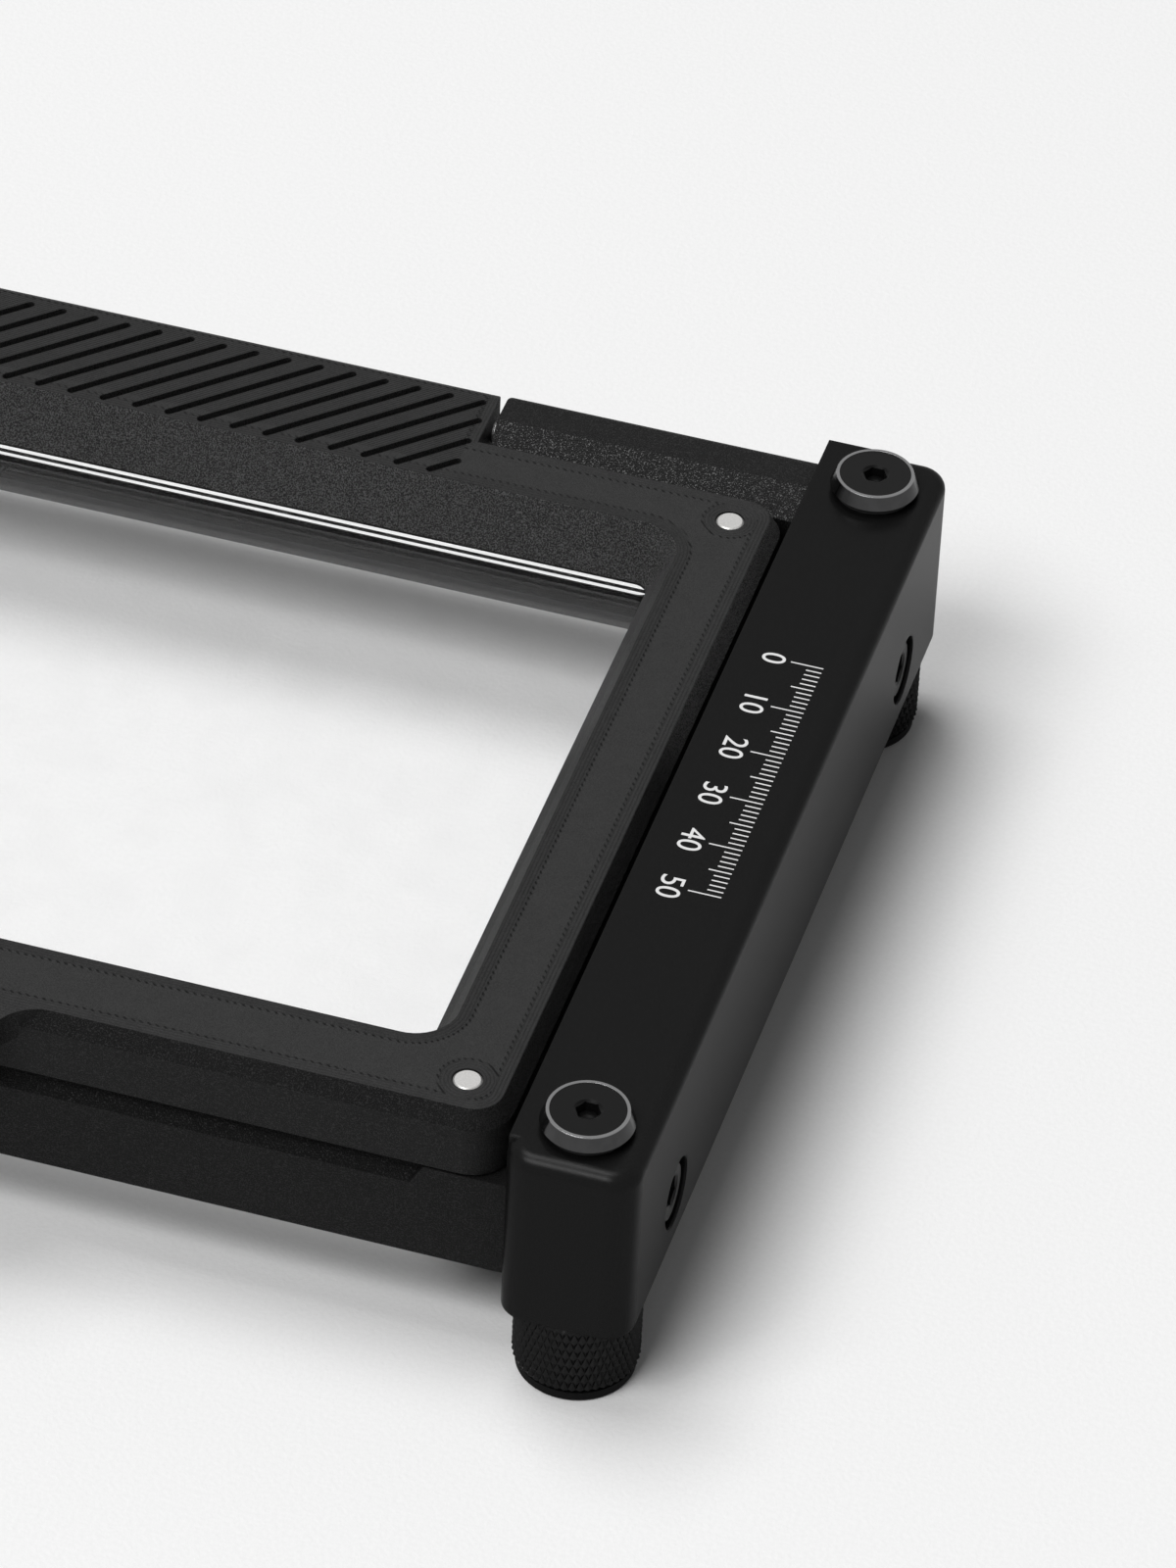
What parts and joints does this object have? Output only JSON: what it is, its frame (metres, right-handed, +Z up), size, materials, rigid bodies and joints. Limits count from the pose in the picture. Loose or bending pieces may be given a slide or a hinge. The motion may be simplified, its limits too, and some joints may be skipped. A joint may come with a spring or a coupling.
{
  "type": "film holder",
  "caption": "Hinged film holder: a sheet of film lies between glass panes in a printed base and a magnet-held lid, on metal end bars with knurled levelling feet.",
  "frame": {"origin": "centre of the object's plan box, at the table under the foot pads", "axes": "+X along the hinge, from the left end bar to the right one; +Y from the finger tab to the hinge; +Z up from the table"},
  "size_m": [0.2074, 0.156, 0.0445],
  "materials": {
    "printed_base": "matt, printed layers",
    "printed_lid": "matt, printed infill lines",
    "pane_glass": "clear float glass",
    "rod_steel": "ground",
    "magnet_nickel": "satin nickel",
    "bar_anodised": "satin black anodised",
    "screw_black": "black oxide",
    "insert_brass": "turned",
    "collar_steel": "turned, bright",
    "washer_black": "matt",
    "knob_anodised": "diamond knurl, black anodised",
    "pad_rubber": "matt"
  },
  "bodies": {
    "holder": {"base_frame": "printed_base", "lower_pane": "pane_glass", "hinge_rod": "rod_steel", "base_magnets": "magnet_nickel", "right_end_bar": "bar_anodised", "left_end_bar": "bar_anodised", "right_side_screws": "screw_black", "left_side_screws": "screw_black", "threaded_inserts": "insert_brass", "front_right_collar": "collar_steel", "rear_right_collar": "collar_steel", "front_left_collar": "collar_steel", "rear_left_collar": "collar_steel", "front_right_washer": "washer_black", "rear_right_washer": "washer_black", "front_left_washer": "washer_black", "rear_left_washer": "washer_black", "front_right_foot_screw": "screw_black", "rear_right_foot_screw": "screw_black", "front_left_foot_screw": "screw_black", "rear_left_foot_screw": "screw_black"},
    "lid": {"lid_frame": "printed_lid", "upper_pane": "pane_glass", "lid_magnets": "magnet_nickel"},
    "front_right_foot": {"front_right_pad": "pad_rubber"},
    "rear_right_foot": {"rear_right_pad": "pad_rubber"},
    "front_left_foot": {"front_left_pad": "pad_rubber"},
    "rear_left_foot": {"rear_left_pad": "pad_rubber"},
    "front_right_grip": {"front_right_knob": "knob_anodised"},
    "rear_right_grip": {"rear_right_knob": "knob_anodised"},
    "front_left_grip": {"front_left_knob": "knob_anodised"},
    "rear_left_grip": {"rear_left_knob": "knob_anodised"}
  },
  "joints": [
    {"name": "lid_hinge", "type": "hinge", "parent": "holder", "child": "lid", "pos_m": [0, 0.07135, 0.0355], "axis": [-1, 0, 0], "range_deg": [0, 180]},
    {"name": "front_right_slide", "type": "slide", "parent": "holder", "child": "front_right_foot", "axis": [0, 0, -1], "range_m": [0, 0.004]},
    {"name": "rear_right_slide", "type": "slide", "parent": "holder", "child": "rear_right_foot", "axis": [0, 0, -1], "range_m": [0, 0.004]},
    {"name": "front_left_slide", "type": "slide", "parent": "holder", "child": "front_left_foot", "axis": [0, 0, -1], "range_m": [0, 0.004]},
    {"name": "rear_left_slide", "type": "slide", "parent": "holder", "child": "rear_left_foot", "axis": [0, 0, -1], "range_m": [0, 0.004]},
    {"name": "front_right_turn", "type": "hinge", "parent": "front_right_foot", "child": "front_right_grip", "pos_m": [0.09475, -0.06915, 0.007], "axis": [0, 0, -1], "range_deg": [0, 1800]},
    {"name": "rear_right_turn", "type": "hinge", "parent": "rear_right_foot", "child": "rear_right_grip", "pos_m": [0.09475, 0.06915, 0.007], "axis": [0, 0, -1], "range_deg": [0, 1800]},
    {"name": "front_left_turn", "type": "hinge", "parent": "front_left_foot", "child": "front_left_grip", "pos_m": [-0.09475, -0.06915, 0.007], "axis": [0, 0, -1], "range_deg": [0, 1800]},
    {"name": "rear_left_turn", "type": "hinge", "parent": "rear_left_foot", "child": "rear_left_grip", "pos_m": [-0.09475, 0.06915, 0.007], "axis": [0, 0, -1], "range_deg": [0, 1800]}
  ],
  "couplings": [
    {"joint": "front_right_turn", "follows": "front_right_slide", "rad_per_m": 7853.9},
    {"joint": "rear_right_turn", "follows": "rear_right_slide", "rad_per_m": 7853.9},
    {"joint": "front_left_turn", "follows": "front_left_slide", "rad_per_m": 7853.9},
    {"joint": "rear_left_turn", "follows": "rear_left_slide", "rad_per_m": 7853.9}
  ]
}
